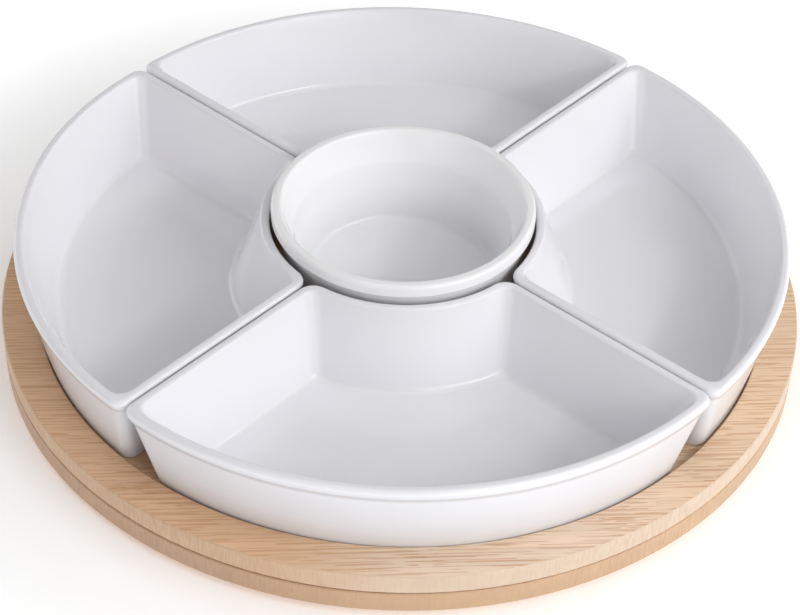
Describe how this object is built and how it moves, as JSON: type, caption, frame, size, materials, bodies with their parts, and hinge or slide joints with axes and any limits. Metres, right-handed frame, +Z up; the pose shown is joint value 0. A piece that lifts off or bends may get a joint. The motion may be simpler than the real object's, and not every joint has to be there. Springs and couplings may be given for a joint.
{
  "type": "chip and dip server",
  "caption": "Round bamboo turntable tray on rubber feet, carrying quarter-ring white porcelain dishes round a central dip bowl; the dishes and the bowl lift out.",
  "frame": {"origin": "on the table surface, on the tray's vertical axis, at the underside of the rubber feet", "axes": "+Z up along the turntable's axis; the dishes lie on the X and Y axes, with dish_front on -Y and dish_right on +X"},
  "size_m": [0.35, 0.35, 0.068],
  "materials": {
    "bamboo": "light oiled bamboo, satin, grain along X",
    "porcelain": "white glaze, glossy",
    "ring_aluminium": "turned, satin",
    "ball_steel": "polished",
    "cage_nylon": "natural nylon, matt",
    "screw_steel": "zinc-plated",
    "foot_rubber": "matt"
  },
  "bodies": {
    "base": {"base_plate": "bamboo", "bearing_outer_ring": "ring_aluminium", "outer_ring_screws": "screw_steel", "foot_front_left": "foot_rubber", "foot_front_right": "foot_rubber", "foot_back_left": "foot_rubber", "foot_back_right": "foot_rubber"},
    "turntable": {"turntable_plate": "bamboo", "bearing_inner_ring": "ring_aluminium", "inner_ring_screws": "screw_steel"},
    "ball_set": {"ball_cage": "cage_nylon", "bearing_balls": "ball_steel"},
    "dish_front": {"dish_front": "porcelain"},
    "dish_right": {"dish_right": "porcelain"},
    "dish_back": {"dish_back": "porcelain"},
    "dish_left": {"dish_left": "porcelain"},
    "dip_bowl": {"dip_bowl": "porcelain"}
  },
  "joints": [
    {"name": "turntable_spin", "type": "hinge", "parent": "base", "child": "turntable", "pos_m": [0, 0, 0.0117], "axis": [0, 0, 1], "continuous": true},
    {"name": "ball_set_spin", "type": "hinge", "parent": "base", "child": "ball_set", "pos_m": [0, 0, 0.0117], "axis": [0, 0, 1], "continuous": true},
    {"name": "dish_front_lift", "type": "slide", "parent": "turntable", "child": "dish_front", "axis": [0, 0, 1], "range_m": [0, 0.06]},
    {"name": "dish_right_lift", "type": "slide", "parent": "turntable", "child": "dish_right", "axis": [0, 0, 1], "range_m": [0, 0.06]},
    {"name": "dish_back_lift", "type": "slide", "parent": "turntable", "child": "dish_back", "axis": [0, 0, 1], "range_m": [0, 0.06]},
    {"name": "dish_left_lift", "type": "slide", "parent": "turntable", "child": "dish_left", "axis": [0, 0, 1], "range_m": [0, 0.06]},
    {"name": "dip_bowl_lift", "type": "slide", "parent": "turntable", "child": "dip_bowl", "axis": [0, 0, 1], "range_m": [0, 0.06]}
  ],
  "couplings": [
    {"joint": "ball_set_spin", "follows": "turntable_spin", "ratio": 0.4875}
  ]
}
